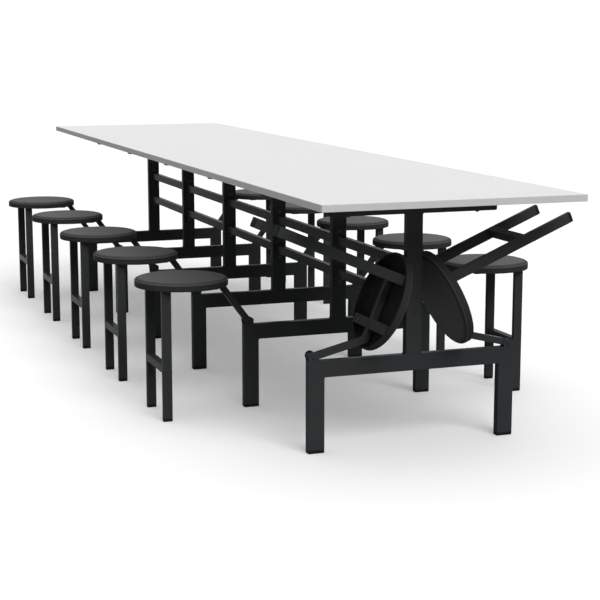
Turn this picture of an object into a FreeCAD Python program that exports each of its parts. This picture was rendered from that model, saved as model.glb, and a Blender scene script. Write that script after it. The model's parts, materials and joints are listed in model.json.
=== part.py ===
import FreeCAD, Part
import math
import os
import Sketcher

# Canteen table with a row of seats along each long side. Every seat is carried by its own small
# steel frame, which stands on two legs in use and folds inwards about a pin at the top of a
# table leg.
#
# Millimetres. X runs along the table, Y across it and Z up. The origin is on the floor, under
# the middle of the top. Each repeated piece is drawn once, in the bent at X = 0 and on the +Y
# side, and the nodes place it.

Vector = FreeCAD.Vector
Rotation = FreeCAD.Rotation
Placement = FreeCAD.Placement

BEYOND = 1  # how far the outline of a cut runs past the solid that it cuts

doc = FreeCAD.newDocument("FoldingSeatTable")
sheet = doc.addObject("Spreadsheet::Sheet", "Sizes")


class Size:
    """A number together with the spreadsheet expression that gives it."""

    def __init__(self, value, text=None):
        self.value = float(value)
        self.text = text if text else f"({value})"

    def combined(self, sign, other, swap=False):
        first, second = (as_size(other), self) if swap else (self, as_size(other))
        values = {
            "+": lambda a, b: a + b,
            "-": lambda a, b: a - b,
            "*": lambda a, b: a * b,
            "/": lambda a, b: a / b,
        }
        return Size(values[sign](first.value, second.value), f"({first.text} {sign} {second.text})")

    def __add__(self, other):
        return self.combined("+", other)

    def __radd__(self, other):
        return self.combined("+", other, swap=True)

    def __sub__(self, other):
        return self.combined("-", other)

    def __rsub__(self, other):
        return self.combined("-", other, swap=True)

    def __mul__(self, other):
        return self.combined("*", other)

    def __rmul__(self, other):
        return self.combined("*", other, swap=True)

    def __truediv__(self, other):
        return self.combined("/", other)

    def __rtruediv__(self, other):
        return self.combined("/", other, swap=True)

    def __neg__(self):
        return 0 - self

    def __pow__(self, power):
        return Size(self.value**power, f"({self.text} ^ {power})")


def as_size(number):
    return number if isinstance(number, Size) else Size(number)


def cosine(angle):
    return Size(math.cos(math.radians(angle.value)), f"cos({angle.text} * 1 deg)")


def sine(angle):
    return Size(math.sin(math.radians(angle.value)), f"sin({angle.text} * 1 deg)")


def root(size):
    return Size(math.sqrt(size.value), f"sqrt({size.text})")


row_count = 0


def driving(alias, number, meaning):
    """Write one driving dimension into the sheet and return it."""
    global row_count
    row_count += 1
    sheet.set(f"A{row_count}", "'" + meaning)
    sheet.set(f"B{row_count}", str(number))
    sheet.setAlias(f"B{row_count}", alias)
    return Size(number, "Sizes." + alias)


# ---- driving dimensions: the top
table_length = driving("table_length", 3600, "length of the top")
table_width = driving("table_width", 800, "width of the top")
table_height = driving("table_height", 760, "height of the top's upper face")
top_thickness = driving("top_thickness", 20, "thickness of the top")
edging = driving("edging", 2, "thickness of the edging round the top")

# ---- the table frame
bent_count = driving("bent_count", 6, "number of bents under the top")
end_overhang = driving("end_overhang", 300, "end of the top to the middle of the end bent")
tube_width = driving("tube_width", 50, "wide side of the frame tube")
tube_depth = driving("tube_depth", 25, "narrow side of the frame tube, along the table")
frame_reach = driving("frame_reach", 330, "middle of the table to the outer face of a leg")
crossbar_top = driving("crossbar_top", 275, "upper face of the crossbar between two legs")
top_arm_reach = driving("top_arm_reach", 264, "middle of the table to the end of a top arm")
arm_plug = driving("arm_plug", 3, "thickness of the plug in a top arm's end")
foot_cap = driving("foot_cap", 10, "height of a plastic foot cap")

# ---- the spacers between the columns
spacer_level = driving("spacer_level", 482, "middle of a spacer above the floor")
plate_height = driving("plate_height", 196, "height of a spacer's end plate")
plate_width = driving("plate_width", 30, "width of a spacer's end plate")
plate_thickness = driving("plate_thickness", 5, "thickness of a spacer's end plate")
rail_spacing = driving("rail_spacing", 109, "distance between the middles of two rails")
rail_height = driving("rail_height", 30, "tall side of the rail tube")
rail_depth = driving("rail_depth", 20, "narrow side of the rail tube")

# ---- the hinge of a seat frame
pivot_inset = driving("pivot_inset", 16.4, "outer face of a table leg to the hinge pin")
arm_clearance = driving("arm_clearance", 1.2, "top of a table leg to the arm's rounded end")
pin_radius = driving("pin_radius", 4, "radius of the hinge pin")
pin_clearance = driving("pin_clearance", 0.05, "radial clearance round the hinge pin")
ear_radius = driving("ear_radius", 16.4, "hinge pin to the side edges of an ear")
ear_rise = driving("ear_rise", 11, "hinge pin to the upper edge of an ear")
ear_cut = driving("ear_cut", 7, "cut across the upper corners of an ear")
ear_thickness = driving("ear_thickness", 2, "thickness of an ear")
arm_side_clearance = driving("arm_side_clearance", 0.5, "side of the arm to an ear's inner face")
rest_gap = driving("rest_gap", 0.3, "folded seat to what stops it, most often the column")

# ---- the seat frame
arm_bend = driving("arm_bend", 20, "inner radius of the bend in the arm")
bend_to_bar = driving("bend_to_bar", 31.8, "corner of the arm's bend to the bar across the arm")
seat_bar_inset = driving("seat_bar_inset", 73, "middle of the seat inwards to the middle of the bar")
seat_bar_width = driving("seat_bar_width", 30, "width of the bar across the arm")
seat_leg_offset = driving("seat_leg_offset", 78, "middle of the seat outwards to its legs")
seat_leg_width = driving("seat_leg_width", 30, "wide side of the leg tube, across the table")
seat_leg_depth = driving("seat_leg_depth", 15, "narrow side of the leg tube")
rung_level = driving("rung_level", 181, "upper face of the rung between the seat's legs")
rung_height = driving("rung_height", 25, "tall side of the rung tube")
rung_depth = driving("rung_depth", 25, "narrow side of the rung tube")
seat_foot_cap = driving("seat_foot_cap", 10, "height of a foot cap of the seat")

# ---- the seat
seat_offset = driving("seat_offset", 221.4, "hinge pin outwards to the middle of a seat")
seat_radius = driving("seat_radius", 149, "radius of the seat")
seat_top = driving("seat_top", 443, "upper face of the seat")
seat_depth = driving("seat_depth", 27, "height of the seat shell")
seat_wall = driving("seat_wall", 5, "wall of the seat shell")
hollow_sides = driving("hollow_sides", 16, "flat sides of the hollow under the seat")
hollow_clearance = driving("hollow_clearance", 1.5, "seat frame to the wall of the hollow")
pad_length = driving("pad_length", 160, "length of the pads that bear on the seat's frame")
pad_height = driving("pad_height", 5, "height of those pads")


# ---- places and sizes that follow from them
bent_pitch = (table_length - end_overhang * 2) / (bent_count - 1)
ear_gap = tube_depth - ear_thickness * 2
arm_size = ear_gap - arm_side_clearance * 2
pivot_reach = frame_reach - pivot_inset
pivot_level = crossbar_top + arm_clearance + arm_size / 2
under_frame_top = seat_top - seat_wall - pad_height
seat_reach = pivot_reach + seat_offset
seat_bar_reach = seat_reach - seat_bar_inset
seat_leg_reach = seat_reach + seat_leg_offset
hollow_radius = seat_radius - seat_wall


def hollow_width(reach):
    """Half the width of the seat's hollow at a distance from the middle of the table."""
    return root((hollow_radius - hollow_clearance) ** 2 - (reach - seat_reach) ** 2)


seat_bar_half = hollow_width(seat_bar_reach - seat_bar_width / 2)
seat_leg_outer = hollow_width(seat_leg_reach + seat_leg_width / 2)
seat_leg_inner = seat_leg_outer - seat_leg_depth


def from_pin(reach, level):
    """Polar place seen from the hinge pin: distance, and radians above the outward direction."""
    out = (reach - pivot_reach).value
    up = (level - pivot_level).value
    return math.hypot(out, up), math.atan2(up, out)


def turn_to_fold():
    """Degrees from down to folded, where the first of three stops is met."""
    stops = []

    far_edge, far_angle = from_pin(seat_reach + seat_radius, seat_top)
    column_side = (tube_width / 2 + rest_gap - pivot_reach).value
    stops.append(math.acos(column_side / far_edge) - far_angle)

    near_edge, near_angle = from_pin(seat_reach - seat_radius, seat_top)
    crossbar_face = (crossbar_top + rest_gap - pivot_level).value
    stops.append(math.pi - math.asin(crossbar_face / near_edge) - near_angle)

    foot, _ = from_pin(seat_leg_reach + seat_leg_width / 2, as_size(0))
    top_edge, top_angle = from_pin(table_width / 2, table_height - top_thickness)
    if foot > top_edge:
        leg_face = (seat_leg_reach + seat_leg_width / 2 + rest_gap - pivot_reach).value
        stops.append(math.acos(leg_face / top_edge) + top_angle)
    return math.degrees(min(stops))


# ---- how features are made and bound to the sheet
def bind(obj, path, size):
    obj.setExpression(path, as_size(size).text)


def block(name, lengths, corner):
    """A box with its three sides and its lowest corner bound to the sheet."""
    box = doc.addObject("Part::Box", name)
    for side, size in zip(("Length", "Width", "Height"), lengths):
        bind(box, side, size)
    for axis, size in zip("xyz", corner):
        bind(box, "Placement.Base." + axis, size)
    return box


def sketch_on(body, role, name, level=0):
    """An empty sketch on one of the body's own origin planes, or level above that plane."""
    plane = next(f for f in body.Origin.OriginFeatures if f.Role == role)
    sketch = body.newObject("Sketcher::SketchObject", name)
    sketch.AttachmentSupport = [(plane, "")]
    sketch.MapMode = "FlatFace"
    bind(sketch, "AttachmentOffset.Base.z", level)
    return sketch


def pin_down(sketch, index, point, place):
    """Bind both coordinates of a sketched point to the sheet."""
    for kind, size in zip(("DistanceX", "DistanceY"), place):
        constraint = sketch.addConstraint(
            Sketcher.Constraint(kind, -1, 1, index, point, as_size(size).value)
        )
        bind(sketch, f"Constraints[{constraint}]", size)


def draw_outline(sketch, corners):
    """A closed outline of straight lines through the corners."""
    places = [Vector(as_size(x).value, as_size(y).value, 0) for x, y in corners]
    count = len(corners)
    for i in range(count):
        sketch.addGeometry(Part.LineSegment(places[i], places[(i + 1) % count]), False)
    for i in range(count):
        sketch.addConstraint(Sketcher.Constraint("Coincident", i, 2, (i + 1) % count, 1))
        pin_down(sketch, i, 1, corners[i])


def draw_circle(sketch, centre, radius):
    middle = Vector(as_size(centre[0]).value, as_size(centre[1]).value, 0)
    index = sketch.addGeometry(Part.Circle(middle, Vector(0, 0, 1), radius.value), False)
    pin_down(sketch, index, 3, centre)
    constraint = sketch.addConstraint(Sketcher.Constraint("Radius", index, radius.value))
    bind(sketch, f"Constraints[{constraint}]", radius)


def rectangle(low_x, high_x, low_y, high_y):
    return [(low_x, low_y), (high_x, low_y), (high_x, high_y), (low_x, high_y)]


def pad(body, sketch, length, name, middle=False):
    """Raise a sketch, to one side or equally to both."""
    feature = body.newObject("PartDesign::Pad", name)
    feature.Profile = sketch
    if middle:
        feature.SideType = "Symmetric"
    bind(feature, "Length", length)
    doc.recompute()
    return feature


def pocket(body, sketch, length, name):
    """Cut a sketch equally to both sides, and make sure that material was removed."""
    before = body.Shape.Volume
    feature = body.newObject("PartDesign::Pocket", name)
    feature.Profile = sketch
    feature.SideType = "Symmetric"
    bind(feature, "Length", length)
    doc.recompute()
    if not body.Shape.Volume < before:
        raise RuntimeError(f"{name} cuts nothing")
    return feature


def edges_along_x(shape, places):
    """Names of the straight edges that run along X through the given (y, z) places."""
    found = []
    for number, edge in enumerate(shape.Edges, 1):
        box = edge.BoundBox
        if box.YLength > 0.01 or box.ZLength > 0.01:
            continue
        for y, z in places:
            if math.hypot(box.YMin - y.value, box.ZMin - z.value) < 0.01:
                found.append(f"Edge{number}")
    return found


def fillet(body, base, edges, radius, name):
    feature = body.newObject("PartDesign::Fillet", name)
    feature.Base = (base, edges)
    bind(feature, "Radius", radius)
    doc.recompute()
    return feature


nodes = []


def node(label, pieces, placement=None):
    """One sub-part of the table: its pieces, placed together under the node's name."""
    group = doc.addObject("Part::Compound", label)
    group.Label = label
    group.Links = pieces
    if placement:
        group.Placement = placement
    nodes.append(group)
    return group


def turned(piece):
    """The same piece on the -Y side, turned half round the vertical axis."""
    copy = doc.addObject("Part::Compound", piece.Name + "_turned")
    copy.Links = [piece]
    copy.Placement = Placement(Vector(0, 0, 0), Rotation(Vector(0, 0, 1), 180))
    return copy


# ---- the top: a board with edging all round
def make_top():
    board_length = table_length - edging * 2
    board_width = table_width - edging * 2
    underside = table_height - top_thickness
    board = block(
        "board",
        (board_length, board_width, top_thickness),
        (-board_length / 2, -board_width / 2, underside),
    )
    outer = block(
        "edging_outer",
        (table_length, table_width, top_thickness),
        (-table_length / 2, -table_width / 2, underside),
    )
    band = doc.addObject("Part::Cut", "edging_band")
    band.Base = outer
    band.Tool = board
    node("table_top", [board])
    node("table_edging", [band])


# ---- a bent: two legs, and the crossbar, column and top arm between them
def make_leg():
    """Table leg whose two upper ears hold a hinge pin."""
    body = doc.addObject("PartDesign::Body", "leg")
    inner_face = frame_reach - tube_width
    section = sketch_on(body, "XY_Plane", "leg_section", foot_cap)
    draw_outline(section, rectangle(-tube_depth / 2, tube_depth / 2, inner_face, frame_reach))
    pad(body, section, crossbar_top - foot_cap, "leg_tube")

    ear_low = crossbar_top - ear_thickness
    ear_high = pivot_level + ear_rise
    low_y = pivot_reach - ear_radius
    high_y = pivot_reach + ear_radius
    ears = sketch_on(body, "YZ_Plane", "ear_outline")
    draw_outline(
        ears,
        [
            (low_y, ear_low),
            (high_y, ear_low),
            (high_y, ear_high - ear_cut),
            (high_y - ear_cut, ear_high),
            (low_y + ear_cut, ear_high),
            (low_y, ear_high - ear_cut),
        ],
    )
    pad(body, ears, tube_depth, "ear_block", middle=True)

    gap = sketch_on(body, "YZ_Plane", "ear_gap_outline")
    draw_outline(
        gap,
        rectangle(low_y - BEYOND, high_y + BEYOND, crossbar_top, ear_high + BEYOND),
    )
    pocket(body, gap, ear_gap, "ear_gap")
    return body


def make_pin():
    """Hinge pin from the inner face of one ear to that of the other."""
    body = doc.addObject("PartDesign::Body", "pin")
    section = sketch_on(body, "YZ_Plane", "pin_section")
    draw_circle(section, (pivot_reach, pivot_level), pin_radius)
    pad(body, section, ear_gap, "pin_shank", middle=True)
    return body


def make_bents():
    half = tube_depth / 2
    inner_face = frame_reach - tube_width
    underside = table_height - top_thickness
    arm_low = underside - tube_width
    arm_half = top_arm_reach - arm_plug

    leg = make_leg()
    pin = make_pin()
    crossbar = block(
        "crossbar",
        (tube_depth, inner_face * 2, tube_width),
        (-half, -inner_face, crossbar_top - tube_width),
    )
    column = block(
        "column",
        (tube_depth, tube_width, arm_low - crossbar_top),
        (-half, -tube_width / 2, crossbar_top),
    )
    top_arm = block("top_arm", (tube_depth, arm_half * 2, tube_width), (-half, -arm_half, arm_low))
    plug = block("top_arm_plug", (tube_depth, arm_plug, tube_width), (-half, arm_half, arm_low))
    cap = block("foot_cap_block", (tube_depth, tube_width, foot_cap), (-half, inner_face, 0))

    legs = [leg, turned(leg)]
    pairs = {
        "hinge_pins": [pin, turned(pin)],
        "top_arm_plugs": [plug, turned(plug)],
        "frame_foot_caps": [cap, turned(cap)],
    }
    rows = {name: [] for name in pairs}
    for i, x in enumerate(bent_places(), 1):
        place = Placement(Vector(x, 0, 0), Rotation())
        node(f"bent_{i}_legs", legs, place)
        node(f"bent_{i}_spine", [crossbar, column, top_arm], place)
        for name, pair in pairs.items():
            copy = doc.addObject("Part::Compound", f"{name}_{i}")
            copy.Links = pair
            copy.Placement = place
            rows[name].append(copy)
    for name, copies in rows.items():
        node(name, copies)


def bent_places():
    """X of each bent, from the +X end of the table to the other."""
    count = int(bent_count.value)
    return [bent_pitch.value * ((count - 1) / 2 - i) for i in range(count)]


# ---- a spacer: two rails between two end plates, bolted between neighbouring columns
def make_spacers():
    clear = bent_pitch - tube_depth
    rail_length = clear - plate_thickness * 2
    plate_low = spacer_level - plate_height / 2
    pieces = []
    for name, corner_x in (("plate_a", -clear / 2), ("plate_b", clear / 2 - plate_thickness)):
        sides = (plate_thickness, plate_width, plate_height)
        pieces.append(block(name, sides, (corner_x, -plate_width / 2, plate_low)))
    for name, side in (("rail_low", -1), ("rail_high", 1)):
        low = spacer_level + rail_spacing * (side / 2) - rail_height / 2
        sides = (rail_length, rail_depth, rail_height)
        pieces.append(block(name, sides, (-rail_length / 2, -rail_depth / 2, low)))
    places = bent_places()
    for i, (x, next_x) in enumerate(zip(places, places[1:]), 1):
        place = Placement(Vector((x + next_x) / 2, 0, 0), Rotation())
        node(f"spacer_{i}_{i + 1}", pieces, place)


# ---- the seat frame: bent arm, bar across it, header, two legs and a rung
def make_arm():
    """Square tube from the hinge pin up to the seat, then level under the seat to the header."""
    body = doc.addObject("PartDesign::Body", "arm")
    half = arm_size / 2
    low = under_frame_top - arm_size
    header_face = seat_leg_reach - half
    run = seat_bar_reach - seat_bar_width / 2 - bend_to_bar - pivot_reach
    rise = under_frame_top - half - pivot_level
    length = root(run**2 + rise**2)
    outwards = run / length
    upwards = rise / length

    def side_at(level, offset):
        """Outboard place where a side of the sloping part reaches a level."""
        along = (level - pivot_level - offset * outwards) / upwards
        return pivot_reach + along * outwards - offset * upwards

    outer_bend = (side_at(under_frame_top, half), under_frame_top)
    inner_bend = (side_at(low, -half), low)
    across = (half * upwards, half * outwards)
    side_view = sketch_on(body, "YZ_Plane", "arm_side_view")
    draw_outline(
        side_view,
        [
            (pivot_reach - across[0], pivot_level + across[1]),
            (pivot_reach + across[0], pivot_level - across[1]),
            inner_bend,
            (header_face, low),
            (header_face, under_frame_top),
            outer_bend,
        ],
    )
    tube = pad(body, side_view, arm_size, "arm_tube", middle=True)
    inner_edges = edges_along_x(tube.Shape, [inner_bend])
    inner = fillet(body, tube, inner_edges, arm_bend, "arm_inner_bend")
    outer_edges = edges_along_x(inner.Shape, [outer_bend])
    fillet(body, inner, outer_edges, arm_bend + arm_size, "arm_outer_bend")

    end = sketch_on(body, "YZ_Plane", "arm_end_outline")
    draw_circle(end, (pivot_reach, pivot_level), half)
    pad(body, end, arm_size, "arm_end", middle=True)
    bore = sketch_on(body, "YZ_Plane", "arm_bore_outline")
    draw_circle(bore, (pivot_reach, pivot_level), pin_radius + pin_clearance)
    pocket(body, bore, arm_size + BEYOND * 2, "arm_bore")
    return body


def make_seat_frame():
    low = under_frame_top - arm_size
    bar_side = seat_bar_half - arm_size / 2
    leg_low_y = seat_leg_reach - seat_leg_width / 2
    leg_high_y = seat_leg_reach + seat_leg_width / 2

    pieces = [make_arm()]
    for name, corner_x in (("bar_a", -seat_bar_half), ("bar_b", arm_size / 2)):
        sides = (bar_side, seat_bar_width, arm_size)
        pieces.append(block(name, sides, (corner_x, seat_bar_reach - seat_bar_width / 2, low)))
    pieces.append(
        block(
            "header",
            (seat_leg_inner * 2, arm_size, arm_size),
            (-seat_leg_inner, seat_leg_reach - arm_size / 2, low),
        )
    )
    for name, corner_x in (("leg_a", -seat_leg_outer), ("leg_b", seat_leg_inner)):
        sides = (seat_leg_depth, seat_leg_width, under_frame_top - seat_foot_cap)
        pieces.append(block("seat_" + name, sides, (corner_x, leg_low_y, seat_foot_cap)))
    pieces.append(
        block(
            "rung",
            (seat_leg_inner * 2, rung_depth, rung_height),
            (-seat_leg_inner, leg_high_y - rung_depth, rung_level - rung_height),
        )
    )
    return pieces


def make_seat_feet():
    low_y = seat_leg_reach - seat_leg_width / 2
    feet = []
    for name, corner_x in (("a", -seat_leg_outer), ("b", seat_leg_inner)):
        sides = (seat_leg_depth, seat_leg_width, seat_foot_cap)
        feet.append(block("seat_foot_" + name, sides, (corner_x, low_y, 0)))
    return feet


# ---- the seat: a round moulded shell, open below, with pads that bear on the seat frame
def make_seat():
    body = doc.addObject("PartDesign::Body", "seat_shell")
    rim_low = seat_top - seat_depth
    ceiling = seat_top - seat_wall
    outline = sketch_on(body, "XY_Plane", "seat_outline", rim_low)
    draw_circle(outline, (0, 0), seat_radius)
    pad(body, outline, seat_depth, "seat_disc")

    hollow = sketch_on(body, "XY_Plane", "hollow_outline", rim_low)
    corner_radius = hollow_radius / cosine(180 / hollow_sides)
    angles = [360 * i / hollow_sides for i in range(int(hollow_sides.value))]
    draw_outline(hollow, [(corner_radius * cosine(a), corner_radius * sine(a)) for a in angles])
    pocket(body, hollow, (ceiling - rim_low) * 2, "hollow")

    for name, reach, width in (
        ("bar_pad", seat_bar_reach, seat_bar_width),
        ("header_pad", seat_leg_reach, arm_size),
    ):
        middle = reach - seat_reach
        outline = sketch_on(body, "XY_Plane", name + "_outline", under_frame_top)
        draw_outline(
            outline,
            rectangle(-pad_length / 2, pad_length / 2, middle - width / 2, middle + width / 2),
        )
        pad(body, outline, ceiling - under_frame_top, name)
    bind(body, "Placement.Base.y", seat_reach)
    return body


def make_seats():
    """Place each seat at its bent and side; the first bent's two seats are folded."""
    parts = {"seat": [make_seat()], "frame": make_seat_frame(), "feet": make_seat_feet()}
    pivot = Vector(0, pivot_reach.value, pivot_level.value)
    folded = Placement(Vector(0, 0, 0), Rotation(Vector(1, 0, 0), turn_to_fold()), pivot)
    for side, half_turn in (("left", 180), ("right", 0)):
        for i, x in enumerate(bent_places(), 1):
            place = Placement(Vector(x, 0, 0), Rotation(Vector(0, 0, 1), half_turn))
            if i == 1:
                place = place.multiply(folded)
            for part, pieces in parts.items():
                node(f"{side}_{i}_{part}", pieces, place)


def write_parts():
    doc.recompute()
    for obj in doc.Objects:
        if any(flag in obj.State for flag in ("Invalid", "Error")):
            raise RuntimeError(f"{obj.Label} did not build: {obj.State}")
    for group in nodes:
        if group.Shape.isNull() or not group.Shape.isValid():
            raise RuntimeError(f"{group.Label} is not a valid shape")
    os.makedirs("parts", exist_ok=True)
    for group in nodes:
        group.Shape.exportStep(f"parts/{group.Label}.step")
        print(group.Label, len(group.Shape.Solids), round(group.Shape.Volume / 1000, 1), "cm3")


make_top()
make_bents()
make_spacers()
make_seats()
write_parts()
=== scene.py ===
import json
import math

import bmesh
import bpy
from mathutils import Matrix, Vector


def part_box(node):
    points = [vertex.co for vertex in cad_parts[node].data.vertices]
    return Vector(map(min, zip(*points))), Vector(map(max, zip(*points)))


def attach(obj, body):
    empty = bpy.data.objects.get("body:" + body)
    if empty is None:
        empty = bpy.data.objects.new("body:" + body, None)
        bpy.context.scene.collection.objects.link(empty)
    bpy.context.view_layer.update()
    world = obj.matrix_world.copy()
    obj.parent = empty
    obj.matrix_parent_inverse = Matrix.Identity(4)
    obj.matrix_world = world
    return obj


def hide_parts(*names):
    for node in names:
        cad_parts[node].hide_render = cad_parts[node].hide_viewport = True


# Looks of a canteen table whose round seats fold inwards on hinged steel frames.
# Metres throughout. X runs along the table, Y across it and Z up from the floor.

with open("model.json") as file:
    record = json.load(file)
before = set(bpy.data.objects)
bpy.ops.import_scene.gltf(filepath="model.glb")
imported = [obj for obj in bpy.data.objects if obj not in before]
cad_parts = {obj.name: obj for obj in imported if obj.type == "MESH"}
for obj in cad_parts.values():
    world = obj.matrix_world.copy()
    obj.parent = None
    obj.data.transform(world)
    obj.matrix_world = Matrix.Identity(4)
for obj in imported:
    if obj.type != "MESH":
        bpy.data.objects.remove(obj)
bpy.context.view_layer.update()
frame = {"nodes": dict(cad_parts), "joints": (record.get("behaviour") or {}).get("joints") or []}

BENTS = 6
X_AXIS, Y_AXIS, Z_AXIS = Vector((1, 0, 0)), Vector((0, 1, 0)), Vector((0, 0, 1))

# ---- sizes of the table and its frame, as the CAD model has them
EDGING = 0.002
TUBE_WIDTH, TUBE_DEPTH = 0.050, 0.025
LEG_OUTER = 0.330
LEG_INNER = LEG_OUTER - TUBE_WIDTH
CROSSBAR_TOP, ARM_TOP = 0.275, 0.740
CROSSBAR_LOW, ARM_LOW = CROSSBAR_TOP - TUBE_WIDTH, ARM_TOP - TUBE_WIDTH
PLUG_END, PLUG_DEPTH = 0.264, 0.003
ARM_END = PLUG_END - PLUG_DEPTH
FOOT_CAP = 0.010

EAR_THICKNESS = 0.002
EAR_HALF = 0.0164
EAR_RISE = 0.011

SPACER_LEVEL = 0.482
PLATE_THICKNESS, PLATE_WIDTH, PLATE_HEIGHT = 0.005, 0.030, 0.196
RAIL_HEIGHT, RAIL_DEPTH, RAIL_SPACING = 0.030, 0.020, 0.109

# ---- sizes of a seat and its frame, as the CAD model has them. Both are drawn lowered, on the
# +Y side, at X = 0.
SEAT_REACH = 0.535
SEAT_RADIUS, SEAT_DEPTH = 0.149, 0.027
SEAT_WALL = 0.005
SEAT_TOP = 0.443
SEAT_RIM, SEAT_CEILING = SEAT_TOP - SEAT_DEPTH, SEAT_TOP - SEAT_WALL
PAD_HALF, PAD_HEIGHT = 0.080, 0.005

STOOL_TUBE = 0.020
STOOL_TOP = SEAT_CEILING - PAD_HEIGHT
BAR_INSET, BAR_WIDTH = 0.073, 0.030
BAR_REACH = SEAT_REACH - BAR_INSET
HEADER_OFFSET = 0.078
HEADER_REACH = SEAT_REACH + HEADER_OFFSET
ARM_BEND, BEND_TO_BAR = 0.020, 0.0318
BEND_REACH = BAR_REACH - BAR_WIDTH / 2 - BEND_TO_BAR
PIN_RADIUS, PIN_CLEARANCE = 0.004, 0.00005
BORE_RADIUS = PIN_RADIUS + PIN_CLEARANCE
STOOL_LEG_WIDTH, STOOL_LEG_DEPTH = 0.015, 0.030
HOLLOW_CLEARANCE = 0.0015
RUNG_TOP, RUNG_SIZE = 0.181, 0.025
RUNG_LEVEL = RUNG_TOP - RUNG_SIZE / 2
RUNG_REACH = HEADER_REACH + (STOOL_LEG_DEPTH - RUNG_SIZE) / 2


def hollow_half(reach):
    """Half the room across the seat's hollow, at a distance from the middle of the table."""
    radius = SEAT_RADIUS - SEAT_WALL - HOLLOW_CLEARANCE
    return math.sqrt(radius ** 2 - (reach - SEAT_REACH) ** 2)


BAR_HALF = hollow_half(BAR_REACH - BAR_WIDTH / 2)
STOOL_LEG_MIDDLE = hollow_half(HEADER_REACH + STOOL_LEG_DEPTH / 2) - STOOL_LEG_WIDTH / 2

# ---- roundings and details that only this model has
TUBE_CORNER, STOOL_CORNER = 0.0015, 0.0013
PLATE_CORNER, EAR_CORNER = 0.003, 0.0075
BROKEN_EDGE, BOARD_EDGE = 0.0005, 0.0003
SHARP_ANGLE = 50  # degrees between two faces whose edge is broken
MERGE_GAP = 0.00001
EDGING_ROUNDING, EDGING_CORNER = 0.0009, 0.003
PLUG_ROUNDING = 0.006
SOLE_INSET, SOLE_RISE, SOLE_SHOULDER = 0.0016, 0.0012, 0.0004
COLLAR_EDGE = 0.0006

PANEL_RADIUS, PANEL_STEP = 0.1345, 0.0010
PANEL_EDGE = PANEL_STEP / 3
SHOULDER_DROP = 0.0105
SEAT_LIP = 0.0025
HOLLOW_LEDGE = 0.006

PIN_HEAD_RADIUS, PIN_HEAD_DEPTH = 0.0065, 0.003
KNOB_RADIUS, KNOB_DEPTH = 0.0145, 0.012
KNOB_NECK_RADIUS, KNOB_NECK_DEPTH = 0.008, 0.0025
KNOB_EDGE = 0.0022
DISH_DEPTH = 0.001
DISH_MOUTH, DISH_FLOOR = 0.6, 0.55  # of the knob's radius

PLATE_BOLT_INSET = 0.0155
BOLT_RADIUS, BOLT_HEIGHT = 0.0055, 0.0032
TOP_SCREW_REACH = 0.2045
TOP_SCREW_RADIUS, TOP_SCREW_HEIGHT = 0.006, 0.0045
SEAT_SCREW_SPREAD = 0.0775
SEAT_SCREW_RADIUS, SEAT_SCREW_HEIGHT = 0.0055, 0.003

# A screw head's levels are shares of its height. Its socket's radius is a share of its own radius,
# and the taper is how much of that is left at the socket's floor.
HEAD_SKIRT, HEAD_CROWN = 0.25, 0.99
HEAD_TURNS = (0.35, 0.7, 1.0, 1.2)  # radians up the dome
SOCKET_MOUTH, SOCKET_CORNER, SOCKET_FLOOR = 0.97, 0.45, 0.4
SOCKET_RADIUS, SOCKET_TAPER = 0.42, 0.95

WELD_STEP = 0.0022
WELD_SIDES = 8
WELD_RADIUS, SMALL_WELD = 0.0022, 0.0016
BAR_WELD, HEADER_WELD, FINE_WELD = 0.0017, 0.0015, 0.0014
BAR_WELD_HALF, HEADER_WELD_HALF, RUNG_WELD_HALF = 0.012, 0.008, 0.010
BAR_WELD_INSET, HEADER_WELD_INSET = 0.002, 0.001
# A bead's two ripples: how much each swells it, and how far each turns at a step, in radians.
RIPPLE, RIPPLE_TURN = 0.16, 2.1
DRIFT, DRIFT_TURN = 0.06, 0.37

# Where a texture's darkest and palest colours begin, between its values 0 and 1.
BLEND_START, BLEND_END = 0.35, 0.65

# How finely round forms are divided.
CORNER_STEPS = 4
BORE_STEPS = 24
HEAD_STEPS, KNOB_STEPS, SEAT_STEPS = 20, 36, 128

# ---- camera, floor and light, with headings, pitch, height and width in degrees
CAMERA_PLACE = (5.5338, -1.8179, 1.2101)
CAMERA_HEADING, CAMERA_PITCH = 160.02, -9.98
CAMERA_LENS, CAMERA_SENSOR = 91.65, 36.0  # millimetres
VIEW_DEPTH = 100
FLOOR_SIZE = 60
FLOOR_SEEN, FLOOR_LIFT = 0.87, 0.20  # its colour where it is seen, and a glow added to that
FLOOR_BOUNCE = 0.34  # its colour in the light that it throws back at the table
SKY_STRENGTH, SKY_FALL = 1.74, 3.0  # straight up, and the power by which it falls off below that
KEY_STRENGTH, KEY_HEADING, KEY_HEIGHT, KEY_WIDTH = 1.42, 8.0, 41.0, 36.0


# ---- meshes
def either_side(middle, distance):
    """The two values at a distance from a middle."""
    return middle - distance, middle + distance


def rounded_rect(width, height, radius, steps=CORNER_STEPS):
    """Points of a rounded rectangle round the origin, anticlockwise."""
    points = []
    for corner in range(4):
        middle_x = (width / 2 - radius) * (1 if corner in (0, 3) else -1)
        middle_y = (height / 2 - radius) * (1 if corner in (0, 1) else -1)
        for i in range(steps + 1):
            angle = math.pi / 2 * (corner + i / steps)
            x, y = radius * math.cos(angle), radius * math.sin(angle)
            points.append((middle_x + x, middle_y + y))
    return points


def arc(centre, radius, start, end, steps):
    """Points of an arc in a plane, angles in degrees."""
    points = []
    for i in range(steps + 1):
        angle = math.radians(start + (end - start) * i / steps)
        x, y = radius * math.cos(angle), radius * math.sin(angle)
        points.append((centre[0] + x, centre[1] + y))
    return points


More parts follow.
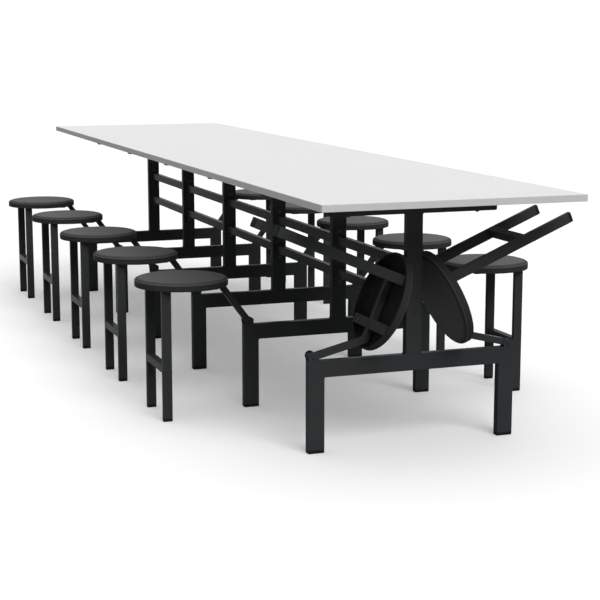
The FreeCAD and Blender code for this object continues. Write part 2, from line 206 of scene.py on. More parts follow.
def shrunk(outline, distance):
    """A closed anticlockwise outline moved inwards by a distance, with mitred corners."""
    points = [Vector(point) for point in outline]
    moved = []
    for i, point in enumerate(points):
        before = (point - points[i - 1]).normalized()
        after = (points[(i + 1) % len(points)] - point).normalized()
        first, second = Vector((-before.y, before.x)), Vector((-after.y, after.x))
        moved.append(point + (first + second) * (distance / (1 + first.dot(second))))
    return moved


def skin(bm, rings, closed_ends=True, loop=False):
    """Faces between rings of vertices that have as many points each."""
    count = len(rings[0])
    pairs = list(zip(rings, rings[1:]))
    if loop:
        pairs.append((rings[-1], rings[0]))
    for a, b in pairs:
        for i in range(count):
            j = (i + 1) % count
            bm.faces.new((a[i], a[j], b[j], b[i])).smooth = True
    if closed_ends and not loop:
        for ring in (list(reversed(rings[0])), rings[-1]):
            bm.faces.new(ring)


def sweep(bm, section, stations, loop=False):
    """Carry a flat section through stations, each an origin and the section's two directions."""
    rings = []
    for origin, across, up in stations:
        rings.append([bm.verts.new(origin + across * x + up * y) for x, y in section])
    skin(bm, rings, loop=loop)


def tube(bm, start, end, across, width, depth, radius):
    """A straight rectangular tube with rounded corners. width lies along across."""
    start, end = Vector(start), Vector(end)
    up = (end - start).normalized().cross(across)
    section = rounded_rect(width, depth, radius)
    sweep(bm, section, [(start, across, up), (end, across, up)])


def frame_tube(bm, start, end):
    """A length of the table frame's tube, its wide walls to the front and the back."""
    tube(bm, start, end, X_AXIS, TUBE_DEPTH, TUBE_WIDTH, TUBE_CORNER)


def prism(bm, outline, low, high):
    """An outline in the YZ plane, carried along X from low to high."""
    sweep(bm, outline, [(X_AXIS * x, Y_AXIS, Z_AXIS) for x in (low, high)])


def edges_of(bm, ring):
    """The edges of a closed ring of vertices."""
    return [bm.edges.get((ring[i - 1], ring[i])) for i in range(len(ring))]


def bored_slab(bm, outline, half, radius, centre, bore):
    """A slab along X from an outline in the YZ plane, its long edges rounded, with a bore."""
    turns = [math.pi / 2 * i / CORNER_STEPS for i in range(CORNER_STEPS + 1)]
    quarter = [(half - radius + radius * math.cos(t), radius - radius * math.sin(t)) for t in turns]
    stations = [(-x, inset) for x, inset in quarter]
    stations += [(x, inset) for x, inset in reversed(quarter)]
    rings = []
    for x, inset in stations:
        rings.append([bm.verts.new((x, p.x, p.y)) for p in shrunk(outline, inset)])
    skin(bm, rings, closed_ends=False)
    circle = arc(centre, bore, 0, 360, steps=BORE_STEPS)[:-1]
    walls = [[bm.verts.new((x, y, z)) for y, z in circle] for x in (-half, half)]
    skin(bm, walls, closed_ends=False)
    for ring, wall in ((rings[0], walls[0]), (rings[-1], walls[-1])):
        border = edges_of(bm, ring) + edges_of(bm, wall)
        made = bmesh.ops.triangle_fill(bm, edges=border, use_beauty=True)
        for part in made["geom"]:
            if isinstance(part, bmesh.types.BMFace):
                part.smooth = True


def lathe(bm, profile, place, steps):
    """Turn (radius, height) points round place's Z axis. A point at radius 0 closes the form."""
    rings = []
    for radius, height in profile:
        if radius == 0:
            rings.append([bm.verts.new(place @ Vector((0, 0, height)))])
            continue
        ring = []
        for i in range(steps):
            angle = 2 * math.pi * i / steps
            point = Vector((radius * math.cos(angle), radius * math.sin(angle), height))
            ring.append(bm.verts.new(place @ point))
        rings.append(ring)
    for a, b in zip(rings, rings[1:]):
        for i in range(steps):
            j = (i + 1) % steps
            if len(a) == 1:
                corners = (a[0], b[j], b[i])
            elif len(b) == 1:
                corners = (a[i], a[j], b[0])
            else:
                corners = (a[i], a[j], b[j], b[i])
            bm.faces.new(corners).smooth = True


def begun_near(ring, vertex):
    """A ring of vertices, begun at the one nearest to another vertex."""
    shift = min(range(len(ring)), key=lambda s: (ring[s].co - vertex.co).length)
    return ring[shift:] + ring[:shift]


def weld(bm, corners, radius=WELD_RADIUS, closed=True):
    """A rippled bead laid along straight stretches between corners."""
    following = corners[1:] + corners[:1] if closed else corners[1:]
    path = []
    for a, b in zip(corners, following):
        a, b = Vector(a), Vector(b)
        count = max(1, round((b - a).length / WELD_STEP))
        path += [a.lerp(b, i / count) for i in range(count)]
    if not closed:
        path.append(Vector(corners[-1]))
    rings = []
    for i, point in enumerate(path):
        before = path[i - 1] if closed or i else point
        after = path[(i + 1) % len(path)] if closed or i < len(path) - 1 else point
        along = (after - before).normalized()
        side = along.orthogonal().normalized()
        up = along.cross(side)
        ripple, drift = RIPPLE * math.sin(i * RIPPLE_TURN), DRIFT * math.sin(i * DRIFT_TURN)
        size = radius * (1 + ripple + drift)
        ring = []
        for k in range(WELD_SIDES):
            angle = 2 * math.pi / WELD_SIDES * k
            offset = side * math.cos(angle) + up * math.sin(angle)
            ring.append(bm.verts.new(point + offset * size))
        rings.append(begun_near(ring, rings[-1][0]) if rings else ring)
    if closed:
        skin(bm, rings, closed_ends=False)
        skin(bm, [rings[-1], begun_near(rings[0], rings[-1][0])], closed_ends=False)
    else:
        skin(bm, rings)


def data_of(name, bm):
    """Finished mesh data from a bmesh."""
    bmesh.ops.recalc_face_normals(bm, faces=bm.faces)
    mesh = bpy.data.meshes.new(name)
    bm.to_mesh(mesh)
    bm.free()
    return mesh


def piece(name, mesh, mat, body, nodes=(), place=None, edge=BROKEN_EDGE):
    """Put a mesh into the scene as a piece that rides on a body and stands for CAD nodes."""
    obj = bpy.data.objects.new(name, mesh)
    bpy.context.scene.collection.objects.link(obj)
    if not mesh.materials:
        mesh.materials.append(mat)
    if place:
        obj.matrix_world = place
    if edge:
        bevel = obj.modifiers.new("broken_edges", "BEVEL")
        bevel.width = edge
        bevel.segments = 2
        bevel.limit_method = "ANGLE"
        bevel.angle_limit = math.radians(SHARP_ANGLE)
        bevel.use_clamp_overlap = True
    normals = obj.modifiers.new("flat_faces", "WEIGHTED_NORMAL")
    normals.keep_sharp = True
    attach(obj, body)
    if nodes:
        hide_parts(*nodes)


# ---- materials
def new_material(name):
    """A material with its nodes, its links and its shader."""
    mat = bpy.data.materials.new(name)
    mat.use_nodes = True
    nodes = mat.node_tree.nodes
    links = mat.node_tree.links
    return mat, nodes, links, nodes["Principled BSDF"]


def noise(nodes, links, scale, detail=3.0, roughness=0.5):
    """A noise texture on the object's own coordinates."""
    place = nodes.get("place") or nodes.new("ShaderNodeTexCoord")
    place.name = "place"
    texture = nodes.new("ShaderNodeTexNoise")
    texture.inputs["Scale"].default_value = scale
    texture.inputs["Detail"].default_value = detail
    texture.inputs["Roughness"].default_value = roughness
    links.new(place.outputs["Object"], texture.inputs["Vector"])
    return texture.outputs["Fac"]


def vary(nodes, links, source, socket, low, high):
    """Drive a shader's socket by a texture, from one colour or grey to another."""
    blend = nodes.new("ShaderNodeValToRGB")
    blend.color_ramp.elements[0].position = BLEND_START
    blend.color_ramp.elements[1].position = BLEND_END
    for element, value in zip(blend.color_ramp.elements, (low, high)):
        element.color = (*value, 1) if isinstance(value, tuple) else (value, value, value, 1)
    links.new(source, blend.inputs["Fac"])
    links.new(blend.outputs["Color"], socket)


def bump(nodes, links, source, shader, strength, distance):
    """Raise and sink a surface by a texture."""
    node = nodes.new("ShaderNodeBump")
    node.inputs["Strength"].default_value = strength
    node.inputs["Distance"].default_value = distance
    links.new(source, node.inputs["Height"])
    links.new(node.outputs["Normal"], shader.inputs["Normal"])


def bluish(grey, factor):
    """A grey with its blue multiplied by a factor."""
    return grey, grey, grey * factor


def powder_coat():
    """Satin black powder coat with its fine orange peel."""
    mat, nodes, links, shader = new_material("powder_coat")
    tone = noise(nodes, links, scale=9.0)
    darkest, palest = (0.0445, 0.0475, 0.0500), (0.0495, 0.0525, 0.0550)
    vary(nodes, links, tone, shader.inputs["Base Color"], darkest, palest)
    gloss = noise(nodes, links, scale=60.0)
    vary(nodes, links, gloss, shader.inputs["Roughness"], low=0.20, high=0.26)
    shader.inputs["IOR"].default_value = 1.05
    peel = noise(nodes, links, scale=850.0, detail=2.0)
    bump(nodes, links, peel, shader, strength=0.12, distance=0.0003)
    return mat


def seat_plastic(name, tones, roughness, index):
    """Dark moulded plastic with a fine grain. index is its index of refraction."""
    mat, nodes, links, shader = new_material(name)
    tone = noise(nodes, links, scale=350.0)
    darkest, palest = (bluish(grey, 1.03) for grey in tones)
    vary(nodes, links, tone, shader.inputs["Base Color"], darkest, palest)
    vary(nodes, links, tone, shader.inputs["Roughness"], *roughness)
    shader.inputs["IOR"].default_value = index
    grain = noise(nodes, links, scale=1300.0, detail=4.0, roughness=0.65)
    bump(nodes, links, grain, shader, strength=0.20, distance=0.0003)
    return mat


def black_plastic(name, tones):
    """Black plastic of the foot caps, plugs and knobs."""
    mat, nodes, links, shader = new_material(name)
    tone = noise(nodes, links, scale=40.0)
    darkest, palest = (bluish(grey, 1.04) for grey in tones)
    vary(nodes, links, tone, shader.inputs["Base Color"], darkest, palest)
    vary(nodes, links, tone, shader.inputs["Roughness"], low=0.42, high=0.52)
    shader.inputs["IOR"].default_value = 1.06
    grain = noise(nodes, links, scale=900.0)
    bump(nodes, links, grain, shader, strength=0.2, distance=0.0003)
    return mat


def bolt_steel():
    """Blackened steel of bolts, screws and pins."""
    mat, nodes, links, shader = new_material("bolt_steel")
    tone = noise(nodes, links, scale=220.0)
    darkest, palest = (0.020, 0.021, 0.022), (0.036, 0.037, 0.039)
    vary(nodes, links, tone, shader.inputs["Base Color"], darkest, palest)
    shader.inputs["Metallic"].default_value = 0.85
    vary(nodes, links, tone, shader.inputs["Roughness"], low=0.3, high=0.42)
    scratches = noise(nodes, links, scale=1500.0)
    bump(nodes, links, scratches, shader, strength=0.1, distance=0.0002)
    return mat


def laminate():
    """Pale grey-white laminate with barely visible clouds and a pearl texture."""
    mat, nodes, links, shader = new_material("laminate")
    cloud = noise(nodes, links, scale=3.0, detail=4.0)
    darkest, palest = (0.782, 0.784, 0.788), (0.794, 0.796, 0.800)
    vary(nodes, links, cloud, shader.inputs["Base Color"], darkest, palest)
    gloss = noise(nodes, links, scale=25.0)
    vary(nodes, links, gloss, shader.inputs["Roughness"], low=0.46, high=0.52)
    shader.inputs["Specular IOR Level"].default_value = 0.2
    pearl = noise(nodes, links, scale=1100.0, detail=2.0)
    bump(nodes, links, pearl, shader, strength=0.10, distance=0.0003)
    return mat


def edge_plastic():
    """Plastic edging in the top's colour, a little greyer."""
    mat, nodes, links, shader = new_material("edge_plastic")
    tone = noise(nodes, links, scale=30.0)
    darkest, palest = (0.752, 0.754, 0.766), (0.768, 0.770, 0.782)
    vary(nodes, links, tone, shader.inputs["Base Color"], darkest, palest)
    vary(nodes, links, tone, shader.inputs["Roughness"], low=0.48, high=0.55)
    shader.inputs["Specular IOR Level"].default_value = 0
    grain = noise(nodes, links, scale=700.0)
    bump(nodes, links, grain, shader, strength=0.12, distance=0.0003)
    return mat


coat = powder_coat()
seat_wall = seat_plastic("seat_wall", (0.038, 0.043), roughness=(0.46, 0.54), index=1.04)
# The hollow's plastic is darker than the wall's of the same moulding: painted shade inside the seat's
# hollow.
seat_hollow = seat_plastic("seat_hollow", (0.026, 0.030), roughness=(0.60, 0.70), index=1.04)
seat_panel = seat_plastic("seat_panel", (0.071, 0.077), roughness=(0.42, 0.50), index=1.09)
# The shoulder's plastic is paler than the wall of the same moulding: a painted highlight along the
# seat's upper edge.
seat_shoulder = seat_plastic("seat_shoulder", (0.078, 0.084), roughness=(0.46, 0.54), index=1.04)
SEAT_COLOURS_AND_PAINTED_LIGHT = (seat_wall, seat_hollow, seat_panel, seat_shoulder)
WALL, HOLLOW, PANEL, SHOULDER = range(len(SEAT_COLOURS_AND_PAINTED_LIGHT))
cap_black = black_plastic("cap_plastic", (0.020, 0.026))
knob_black = black_plastic("knob_plastic", (0.007, 0.010))
steel = bolt_steel()
white = laminate()
edge_white = edge_plastic()


def refinish(node, mat):
    """Give a CAD node that stays in sight its material."""
    materials = frame["nodes"][node].data.materials
    materials.clear()
    materials.append(mat)


# ---- the table frame
def pivot_place():
    """Reach and level of the hinge pins."""
    joint = frame["joints"][0]
    return abs(joint["pos_m"][1]), joint["pos_m"][2]


def spine_mesh():
    """Crossbar, column and top arm of a bent, with the welds between them."""
    bm = bmesh.new()
    crossbar = (CROSSBAR_LOW + CROSSBAR_TOP) / 2
    arm = (ARM_LOW + ARM_TOP) / 2
    frame_tube(bm, (0, -LEG_INNER, crossbar), (0, LEG_INNER, crossbar))
    frame_tube(bm, (0, 0, CROSSBAR_TOP), (0, 0, ARM_LOW))
    frame_tube(bm, (0, -ARM_END, arm), (0, ARM_END, arm))
    half = TUBE_WIDTH / 2
    inset = TUBE_DEPTH / 2 - TUBE_CORNER
    for side in (-1, 1):
        for level in (CROSSBAR_TOP, ARM_LOW):
            weld(bm, [(-inset, side * half, level), (inset, side * half, level)], closed=False)
    return data_of("spine", bm)


def ear_outline():
    """Outline of an ear on the +Y side, in the YZ plane, from the top of its leg."""
    reach, level = pivot_place()
    low, high = either_side(reach, EAR_HALF)
    middle = level + EAR_RISE - EAR_CORNER
    points = [(low, CROSSBAR_TOP), (high, CROSSBAR_TOP)]
    points += arc((high - EAR_CORNER, middle), EAR_CORNER, 0, 90, steps=6)
    points += arc((low + EAR_CORNER, middle), EAR_CORNER, 90, 180, steps=6)
    return points


def legs_mesh():
    """Both legs of a bent with their ears and the welds to the crossbar."""
    bm = bmesh.new()
    middle = (LEG_INNER + LEG_OUTER) / 2
    half = TUBE_DEPTH / 2
    inset = half - TUBE_CORNER
    weld_low, weld_top = CROSSBAR_LOW + TUBE_CORNER, CROSSBAR_TOP - TUBE_CORNER
    for side in (-1, 1):
        frame_tube(bm, (0, side * middle, FOOT_CAP), (0, side * middle, CROSSBAR_TOP))
        outline = [(side * y, z) for y, z in ear_outline()]
        for low in (-half, half - EAR_THICKNESS):
            prism(bm, outline, low, low + EAR_THICKNESS)
        joint = side * LEG_INNER
        for x in (-inset, inset):
            weld(bm, [(x, joint, weld_low), (x, joint, weld_top)], radius=SMALL_WELD, closed=False)
        weld(bm, [(-inset, joint, CROSSBAR_LOW), (inset, joint, CROSSBAR_LOW)], closed=False)
    return data_of("legs", bm)


def spacer_mesh(length):
    """Two rails between two end plates, centred on X = 0."""
    bm = bmesh.new()
    inner = length / 2 - PLATE_THICKNESS
    half_y, half_z = RAIL_DEPTH / 2, RAIL_HEIGHT / 2
    for level in either_side(SPACER_LEVEL, RAIL_SPACING / 2):
        start, end = (-inner, 0, level), (inner, 0, level)
        tube(bm, start, end, Y_AXIS, RAIL_DEPTH, RAIL_HEIGHT, TUBE_CORNER)
        for side in (-1, 1):
            x = side * inner
            ring = [(x, half_y, level + half_z), (x, -half_y, level + half_z),
                    (x, -half_y, level - half_z), (x, half_y, level - half_z)]
            weld(bm, ring, radius=SMALL_WELD)
    outline = rounded_rect(PLATE_WIDTH, PLATE_HEIGHT, PLATE_CORNER)
    plate = [(y, z + SPACER_LEVEL) for y, z in outline]
    for low in (-length / 2, inner):
        prism(bm, plate, low, low + PLATE_THICKNESS)
    return data_of("spacer", bm)


def button_head(bm, place, radius, height, socket=True):
    """A domed screw head that stands on place's XY plane, with a round socket or none."""
    profile = [(0, 0), (radius, 0), (radius, height * HEAD_SKIRT)]
    for turn in HEAD_TURNS:
        rise = HEAD_SKIRT + (1 - HEAD_SKIRT) * math.sin(turn)
        profile.append((radius * math.cos(turn), height * rise))
    inner = radius * SOCKET_RADIUS
    if socket:
        profile += [(inner, height * SOCKET_MOUTH), (inner * SOCKET_TAPER, height * SOCKET_CORNER),
                    (0, height * SOCKET_FLOOR)]
    else:
        profile += [(inner, height * HEAD_CROWN), (0, height)]
    lathe(bm, profile, place, HEAD_STEPS)


def facing(point, direction):
    """A place whose Z axis looks along a direction."""
    turn = Vector(direction).to_track_quat("Z", "Y").to_matrix().to_4x4()
    return Matrix.Translation(point) @ turn


def bolts_mesh(bent_places):
    """Bolts through the columns, and the screws that hold the top on its arms."""
    bm = bmesh.new()
    half = TUBE_DEPTH / 2
    for x in bent_places:
        for side, last in ((1, max(bent_places)), (-1, min(bent_places))):
            face = half if x == last else half + PLATE_THICKNESS
            for level in either_side(SPACER_LEVEL, PLATE_HEIGHT / 2 - PLATE_BOLT_INSET):
                place = facing((x + side * face, 0, level), (side, 0, 0))
                button_head(bm, place, BOLT_RADIUS, BOLT_HEIGHT)
        for y in (-TOP_SCREW_REACH, TOP_SCREW_REACH):
            place = facing((x, y, ARM_LOW), (0, 0, -1))
            button_head(bm, place, TOP_SCREW_RADIUS, TOP_SCREW_HEIGHT)
    return data_of("bolts", bm)


def hinge_heads_mesh(bent_places):
    """Round heads of the hinge pins on the front ears."""
    bm = bmesh.new()
    reach, level = pivot_place()
    for x in bent_places:
        for side in (-1, 1):
            place = facing((x + TUBE_DEPTH / 2, side * reach, level), (1, 0, 0))
            button_head(bm, place, PIN_HEAD_RADIUS, PIN_HEAD_DEPTH, socket=False)
    return data_of("hinge_heads", bm)


def hinge_knobs_mesh(bent_places):
    """Black knobs on the other ends of the hinge pins, each with a shallow dish in its face."""
    bm = bmesh.new()
    reach, level = pivot_place()
    low, high = KNOB_NECK_DEPTH, KNOB_NECK_DEPTH + KNOB_DEPTH
    bend = KNOB_RADIUS - KNOB_EDGE
    profile = [(0, 0), (KNOB_NECK_RADIUS, 0), (KNOB_NECK_RADIUS, low), (bend, low)]
    profile += arc((bend, low + KNOB_EDGE), KNOB_EDGE, -90, 0, steps=4)[1:]
    profile += arc((bend, high - KNOB_EDGE), KNOB_EDGE, 0, 90, steps=4)
    profile += [(KNOB_RADIUS * DISH_MOUTH, high), (KNOB_RADIUS * DISH_FLOOR, high - DISH_DEPTH),
                (0, high - DISH_DEPTH)]
    for x in bent_places:
        for side in (-1, 1):
            place = facing((x - TUBE_DEPTH / 2, side * reach, level), (-1, 0, 0))
            lathe(bm, profile, place, KNOB_STEPS)
    return data_of("hinge_knobs", bm)


def cap(bm, x, y, width, depth):
    """A foot cap at a place on the floor, drawn in a little at the floor and at its top edge."""
    place = Vector((x, y, 0))
    levels = ((0, SOLE_INSET), (SOLE_RISE, SOLE_SHOULDER),
              (FOOT_CAP - COLLAR_EDGE, 0), (FOOT_CAP, COLLAR_EDGE))
    rings = []
    for level, inset in levels:
        section = rounded_rect(width - inset * 2, depth - inset * 2, TUBE_CORNER)
        rings.append([bm.verts.new(place + Vector((px, py, level))) for px, py in section])
    skin(bm, rings)


def caps_mesh(bent_places):
    """Plastic caps under the table legs."""
    bm = bmesh.new()
    middle = (LEG_INNER + LEG_OUTER) / 2
    for x in bent_places:
        for side in (-1, 1):
            cap(bm, x, side * middle, TUBE_DEPTH, TUBE_WIDTH)
    return data_of("frame_caps", bm)


def plugs_mesh(bent_places):
    """Plastic plugs in the ends of the top arms, rounded over from the underside."""
    bm = bmesh.new()
    middle = (ARM_LOW + ARM_TOP) / 2
    for x in bent_places:
        for side in (-1, 1):
            rings = []
            for out, inset in arc((0, 1), 1, -90, 0, steps=6):
                lift = PLUG_ROUNDING * inset
                # The sides draw in by a quarter of what the height loses.
                section = rounded_rect(TUBE_DEPTH - lift / 4, TUBE_WIDTH - lift, TUBE_CORNER)
                y, level = side * (ARM_END + PLUG_DEPTH * out), middle + lift / 2
                rings.append([bm.verts.new((x + px, y, level + pz)) for px, pz in section])
            skin(bm, rings)
    return data_of("arm_plugs", bm)


def bent_middles():
    """X of the middle of each bent."""
    boxes = [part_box(f"bent_{i}_spine") for i in range(1, BENTS + 1)]
    return [(low.x + high.x) / 2 for low, high in boxes]


def make_frame():
    """Bents, spacers, hinges, caps, plugs and fasteners of the table."""
    places = bent_middles()
    spine, legs = spine_mesh(), legs_mesh()
    for i, x in enumerate(places, 1):
        at = Matrix.Translation((x, 0, 0))
        piece(f"bent_{i}_spine_tubes", spine, coat, "table", [f"bent_{i}_spine"], at)
        piece(f"bent_{i}_leg_tubes", legs, coat, "table", [f"bent_{i}_legs"], at)
    low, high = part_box("spacer_1_2")
    spacer = spacer_mesh(high.x - low.x)
    for i in range(1, BENTS):
        at = Matrix.Translation(((places[i - 1] + places[i]) / 2, 0, 0))
        name = f"spacer_{i}_{i + 1}"
        piece(name + "_tubes", spacer, coat, "table", [name], at)
    bolts, heads, knobs = bolts_mesh(places), hinge_heads_mesh(places), hinge_knobs_mesh(places)
    piece("frame_bolts", bolts, steel, "table", edge=0)
    piece("hinge_pin_heads", heads, coat, "table", edge=0)
    piece("hinge_knobs", knobs, knob_black, "table", edge=0)
    caps, plugs = caps_mesh(places), plugs_mesh(places)
    piece("frame_cap_mouldings", caps, cap_black, "table", ["frame_foot_caps"],
          edge=0)
    piece("arm_plug_mouldings", plugs, cap_black, "table", ["top_arm_plugs"],
          edge=0)
    refinish("hinge_pins", steel)


# ---- the top
def make_top():
    """The laminated board keeps its CAD form, with its edges broken; the edging is a new band."""
    refinish("table_top", white)
    board = frame["nodes"]["table_top"]
    join = board.modifiers.new("joined_faces", "WELD")
    join.merge_threshold = MERGE_GAP
    bevel = board.modifiers.new("broken_edges", "BEVEL")
    bevel.width = BOARD_EDGE
    bevel.segments = 2

    low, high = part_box("table_edging")
    length, width = high.x - low.x - EDGING, high.y - low.y - EDGING
    path = rounded_rect(length, width, EDGING_CORNER, steps=6)
    middle = (low.z + high.z) / 2
    stations = []
    for i, (x, y) in enumerate(path):
        before, after = path[i - 1], path[(i + 1) % len(path)]
        along = Vector((after[0] - before[0], after[1] - before[1], 0)).normalized()
        stations.append((Vector((x, y, middle)), along.cross(Z_AXIS), Z_AXIS))
    bm = bmesh.new()
    sweep(bm, rounded_rect(EDGING, high.z - low.z, EDGING_ROUNDING), stations, loop=True)
    band = data_of("edging", bm)
    piece("edging_band", band, edge_white, "table", ["table_edging"], edge=0)


# ---- a seat and its frame
def seat_profile():
    """Half section of the shell, from the middle of its panel round its lip into its hollow."""
    profile = [(0, SEAT_TOP), (PANEL_RADIUS / 2, SEAT_TOP)]
    profile += arc((PANEL_RADIUS - PANEL_EDGE, SEAT_TOP - PANEL_EDGE), PANEL_EDGE, 90, 0, steps=3)
    start, end = SEAT_TOP - PANEL_STEP, SEAT_TOP - SHOULDER_DROP
    for x, y in arc((0, 0), 1, 90, 0, steps=12):
        profile.append((PANEL_RADIUS + (SEAT_RADIUS - PANEL_RADIUS) * x, end + (start - end) * y))
    profile += arc((SEAT_RADIUS - SEAT_LIP, SEAT_RIM + SEAT_LIP), SEAT_LIP, 0, -90, steps=6)
    inner = SEAT_RADIUS - SEAT_WALL
    lip = (SEAT_WALL - SEAT_LIP) / 2
    profile += arc((inner + lip, SEAT_RIM + lip), lip, 270, 180, steps=3)
    profile += [(inner, SEAT_CEILING - HOLLOW_LEDGE), (inner - HOLLOW_LEDGE, SEAT_CEILING)]
    profile += [(inner / 2, SEAT_CEILING), (0, SEAT_CEILING)]
    return profile


def seat_colour_or_painted_light(place):
    """Which colour the shell has at a place on it: painted shade in the hollow, the panel's own colour,
    a painted highlight on the shoulder's upper part, and the wall's own colour below.
    """
    reach = math.hypot(place.x, place.y - SEAT_REACH)
    if reach < SEAT_RADIUS - SEAT_WALL and place.z < (SEAT_CEILING + SEAT_TOP) / 2:
        return HOLLOW
    if reach < PANEL_RADIUS - PANEL_EDGE:
        return PANEL
    # The painted highlight stops a quarter of the shoulder's drop above the wall; that lowest quarter
    # takes the wall's darker colour.
    return SHOULDER if place.z > SEAT_TOP - SHOULDER_DROP + SHOULDER_DROP / 4 else WALL


def seat_mesh():
    """Round moulded shell: a flat panel, a drooping shoulder round it, and a hollow with pads."""
    bm = bmesh.new()
    profile = list(reversed(seat_profile()))
    lathe(bm, profile, Matrix.Translation((0, SEAT_REACH, 0)), SEAT_STEPS)
    # Faces take the plastic's own colours, painted shade in the hollow or a painted highlight on the
    # shoulder.
    for face in bm.faces:
        face.material_index = seat_colour_or_painted_light(face.calc_center_median())
    pad_top = (SEAT_CEILING + SEAT_TOP) / 2
    level = (STOOL_TOP + pad_top) / 2
    for reach, width in ((BAR_REACH, BAR_WIDTH), (HEADER_REACH, STOOL_TUBE)):
        start, end = (-PAD_HALF, reach, level), (PAD_HALF, reach, level)
        tube(bm, start, end, Y_AXIS, width, pad_top - STOOL_TOP, STOOL_CORNER / 2)
    mesh = data_of("seat", bm)
    for colour_or_light in SEAT_COLOURS_AND_PAINTED_LIGHT:
        mesh.materials.append(colour_or_light)
    return mesh


def arm_outline():
    """Side view of the bent arm, from its rounded end on the pin to the header."""
    reach, level = pivot_place()
    half = STOOL_TUBE / 2
    middle = STOOL_TOP - half
    slope = math.atan2(middle - level, BEND_REACH - reach)
    lean = math.degrees(slope)
    centre = (BEND_REACH + (ARM_BEND + half) * math.tan(slope / 2), middle - ARM_BEND - half)
    end = HEADER_REACH - half
    points = arc((reach, level), half, lean + 90, lean + 270, steps=16)
    points += arc(centre, ARM_BEND, lean + 90, 90, steps=12)
    points += [(end, STOOL_TOP - STOOL_TUBE), (end, STOOL_TOP)]
    points += arc(centre, ARM_BEND + STOOL_TUBE, 90, lean + 90, steps=12)
    return points


def weld_along_y(bm, x, reach, half, level, radius):
    """A bead along Y, to each side of a reach."""
    weld(bm, [(x, reach - half, level), (x, reach + half, level)], radius=radius, closed=False)


def stool_frame_mesh():
    """The arm, the bar across it, the header at its end, two legs and their rung, with welds."""
    bm = bmesh.new()
    half = STOOL_TUBE / 2
    middle = STOOL_TOP - half
    low = STOOL_TOP - STOOL_TUBE
    inner = STOOL_LEG_MIDDLE - STOOL_LEG_WIDTH / 2
    bored_slab(bm, arm_outline(), half, STOOL_CORNER, pivot_place(), BORE_RADIUS)
    for side in (-1, 1):
        x = side * half
        start, end = (x, BAR_REACH, middle), (side * BAR_HALF, BAR_REACH, middle)
        tube(bm, start, end, Y_AXIS, BAR_WIDTH, STOOL_TUBE, STOOL_CORNER)
        for y in either_side(BAR_REACH, BAR_WIDTH / 2):
            ends = [(x, y, low + BAR_WELD_INSET), (x, y, STOOL_TOP - BAR_WELD_INSET)]
            weld(bm, ends, radius=BAR_WELD, closed=False)
        weld_along_y(bm, x, BAR_REACH, BAR_WELD_HALF, low, FINE_WELD)

        leg = side * STOOL_LEG_MIDDLE
        start, end = (leg, HEADER_REACH, FOOT_CAP), (leg, HEADER_REACH, STOOL_TOP)
        tube(bm, start, end, X_AXIS, STOOL_LEG_WIDTH, STOOL_LEG_DEPTH, STOOL_CORNER)
        for level in (low, STOOL_TOP - HEADER_WELD_INSET):
            weld_along_y(bm, side * inner, HEADER_REACH, HEADER_WELD_HALF, level, HEADER_WELD)
        for level in either_side(RUNG_LEVEL, RUNG_SIZE / 2):
            weld_along_y(bm, side * inner, RUNG_REACH, RUNG_WELD_HALF, level, FINE_WELD)
    for reach, level, size in ((HEADER_REACH, middle, STOOL_TUBE), (RUNG_REACH, RUNG_LEVEL, RUNG_SIZE)):
        tube(bm, (-inner, reach, level), (inner, reach, level), Y_AXIS, size, size, STOOL_CORNER)
    return data_of("stool_frame", bm)


def stool_feet_mesh():
    """Plastic caps under the two legs of a seat's frame."""
    bm = bmesh.new()
    for side in (-1, 1):
        cap(bm, side * STOOL_LEG_MIDDLE, HEADER_REACH, STOOL_LEG_WIDTH, STOOL_LEG_DEPTH)
    return data_of("stool_feet", bm)


def seat_screws_mesh():
    """Screws up through the bar and the header into the seat's pads."""
    bm = bmesh.new()
    low = STOOL_TOP - STOOL_TUBE
    for reach in (BAR_REACH, HEADER_REACH):
        for side in (-1, 1):
            place = facing((side * SEAT_SCREW_SPREAD, reach, low), (0, 0, -1))
            button_head(bm, place, SEAT_SCREW_RADIUS, SEAT_SCREW_HEIGHT)
    return data_of("seat_screws", bm)


def stool_place(joint):
    """Where a lowered seat on the +Y side at X = 0 goes for this joint at rest.

    At a joint's lower limit its seat is down, so that limit is below zero where the seat rests folded.
    """
    x, y, level = joint["pos_m"]
    fold = -joint["range_deg"][0]
    pivot = Matrix.Translation((0, abs(y), level))
    half_turn = Matrix.Rotation(math.pi if y < 0 else 0, 4, "Z")
    fold_turn = pivot @ Matrix.Rotation(math.radians(fold), 4, "X") @ pivot.inverted()
    return Matrix.Translation((x, 0, 0)) @ half_turn @ fold_turn


def make_stools():
    """A seat with its frame, feet and screws on each joint's body."""
    seat, tubes, feet, screws = seat_mesh(), stool_frame_mesh(), stool_feet_mesh(), seat_screws_mesh()
    for joint in frame["joints"]:
        body = joint["child"]
        name = body.replace("_stool", "")
        at = stool_place(joint)
        piece(name + "_seat_shell", seat, seat_wall, body, [name + "_seat"], at, edge=0)
        piece(name + "_frame_tubes", tubes, coat, body, [name + "_frame"], at)
        piece(name + "_foot_caps", feet, cap_black, body, [name + "_feet"], at, edge=0)
        piece(name + "_seat_screws", screws, steel, body, place=at, edge=0)


# ---- camera, floor and light
def make_camera():
    """A camera that looks along the table from beyond its near end."""
    data = bpy.data.cameras.new("camera")
    data.lens = CAMERA_LENS
    data.sensor_width = CAMERA_SENSOR
    data.clip_end = VIEW_DEPTH
    camera = bpy.data.objects.new("camera", data)
    camera.location = CAMERA_PLACE
    turn = (90 + CAMERA_PITCH, 0, CAMERA_HEADING - 90)
    camera.rotation_euler = [math.radians(a) for a in turn]
    bpy.context.scene.collection.objects.link(camera)
    bpy.context.scene.camera = camera


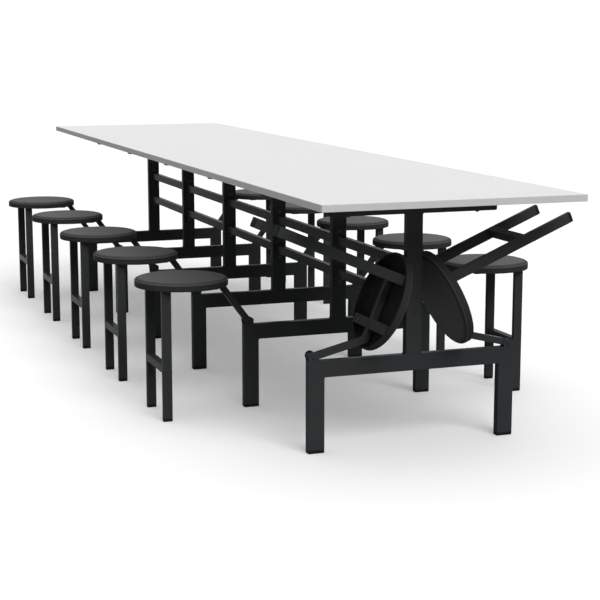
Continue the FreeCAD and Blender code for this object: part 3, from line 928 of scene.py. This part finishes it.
def background_rays(nodes, links):
    """1 for rays that show a background: the camera's, and those that reflect or pass through."""
    rays = nodes.new("ShaderNodeLightPath")
    source = rays.outputs["Is Camera Ray"]
    for kind in ("Is Glossy Ray", "Is Transmission Ray"):
        larger = nodes.new("ShaderNodeMath")
        larger.operation = "MAXIMUM"
        links.new(source, larger.inputs[0])
        links.new(rays.outputs[kind], larger.inputs[1])
        source = larger.outputs[0]
    return source


def make_floor():
    """A pale floor: white to the camera and in reflections, duller in the light it throws back."""
    bpy.ops.mesh.primitive_plane_add(size=FLOOR_SIZE)
    floor = bpy.context.object
    floor.name = "floor"
    mat = bpy.data.materials.new("floor")
    mat.use_nodes = True
    nodes, links = mat.node_tree.nodes, mat.node_tree.links
    nodes.clear()
    seen, dull = nodes.new("ShaderNodeBsdfDiffuse"), nodes.new("ShaderNodeBsdfDiffuse")
    seen.inputs["Color"].default_value = (FLOOR_SEEN, FLOOR_SEEN, FLOOR_SEEN, 1)
    dull.inputs["Color"].default_value = (FLOOR_BOUNCE, FLOOR_BOUNCE, FLOOR_BOUNCE, 1)
    glow, total = nodes.new("ShaderNodeEmission"), nodes.new("ShaderNodeAddShader")
    glow.inputs["Strength"].default_value = FLOOR_LIFT
    links.new(seen.outputs[0], total.inputs[0])
    links.new(glow.outputs[0], total.inputs[1])
    choice, out = nodes.new("ShaderNodeMixShader"), nodes.new("ShaderNodeOutputMaterial")
    links.new(background_rays(nodes, links), choice.inputs["Fac"])
    links.new(dull.outputs[0], choice.inputs[1])
    links.new(total.outputs[0], choice.inputs[2])
    links.new(choice.outputs[0], out.inputs["Surface"])
    floor.data.materials.append(mat)


def make_sky():
    """A sky that is brightest overhead, and plain white as a background."""
    world = bpy.data.worlds.new("studio")
    bpy.context.scene.world = world
    world.use_nodes = True
    nodes, links = world.node_tree.nodes, world.node_tree.links
    nodes.clear()
    direction, parts = nodes.new("ShaderNodeTexCoord"), nodes.new("ShaderNodeSeparateXYZ")
    links.new(direction.outputs["Generated"], parts.inputs[0])
    light = parts.outputs["Z"]
    for operation, value in (("MAXIMUM", 0), ("POWER", SKY_FALL), ("MULTIPLY", SKY_STRENGTH)):
        step = nodes.new("ShaderNodeMath")
        step.operation = operation
        step.inputs[1].default_value = value
        links.new(light, step.inputs[0])
        light = step.outputs[0]
    sky, shown = nodes.new("ShaderNodeBackground"), nodes.new("ShaderNodeBackground")
    for background in (sky, shown):
        background.inputs["Color"].default_value = (1, 1, 1, 1)
    links.new(light, sky.inputs["Strength"])
    choice, out = nodes.new("ShaderNodeMixShader"), nodes.new("ShaderNodeOutputWorld")
    links.new(background_rays(nodes, links), choice.inputs["Fac"])
    links.new(sky.outputs[0], choice.inputs[1])
    links.new(shown.outputs[0], choice.inputs[2])
    links.new(choice.outputs[0], out.inputs["Surface"])


def make_key():
    """One broad soft light from beyond the near end of the table."""
    data = bpy.data.lights.new("key", "SUN")
    data.energy = KEY_STRENGTH
    data.angle = math.radians(KEY_WIDTH)
    lamp = bpy.data.objects.new("key", data)
    lamp.rotation_euler = (0, math.radians(90 - KEY_HEIGHT), math.radians(KEY_HEADING))
    bpy.context.scene.collection.objects.link(lamp)


make_camera()
make_frame()
make_top()
make_stools()
make_floor()
make_sky()
make_key()
bpy.context.scene.view_settings.view_transform = "Standard"
